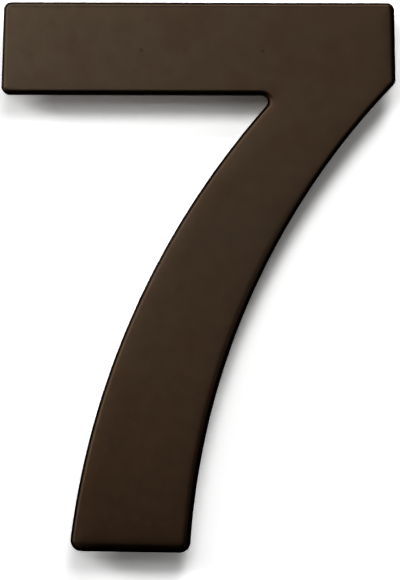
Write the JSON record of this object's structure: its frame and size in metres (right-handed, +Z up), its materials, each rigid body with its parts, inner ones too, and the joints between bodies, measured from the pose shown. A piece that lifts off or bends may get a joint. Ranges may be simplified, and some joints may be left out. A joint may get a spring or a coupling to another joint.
{
  "type": "house number seven",
  "caption": "Floating house number in the shape of the figure seven: a solid cast figure with a rounded front edge, held off the wall by threaded studs and spacers.",
  "frame": {"origin": "on the upper stud's axis, in the wall plane, at the middle of the upper spacer's rear face", "axes": "+Z up along the figure's height, +Y into the wall along the studs, +X to the viewer's right"},
  "size_m": [0.0909, 0.038, 0.127],
  "materials": {
    "aged_bronze_casting": "satin dark aged bronze",
    "aged_bronze_spacer": "satin dark aged bronze",
    "zinc_plated_stud": "zinc plated"
  },
  "bodies": {
    "root": {"numeral": "aged_bronze_casting", "upper_stud": "zinc_plated_stud", "lower_stud": "zinc_plated_stud", "upper_spacer": "aged_bronze_spacer", "lower_spacer": "aged_bronze_spacer"}
  },
  "joints": []
}
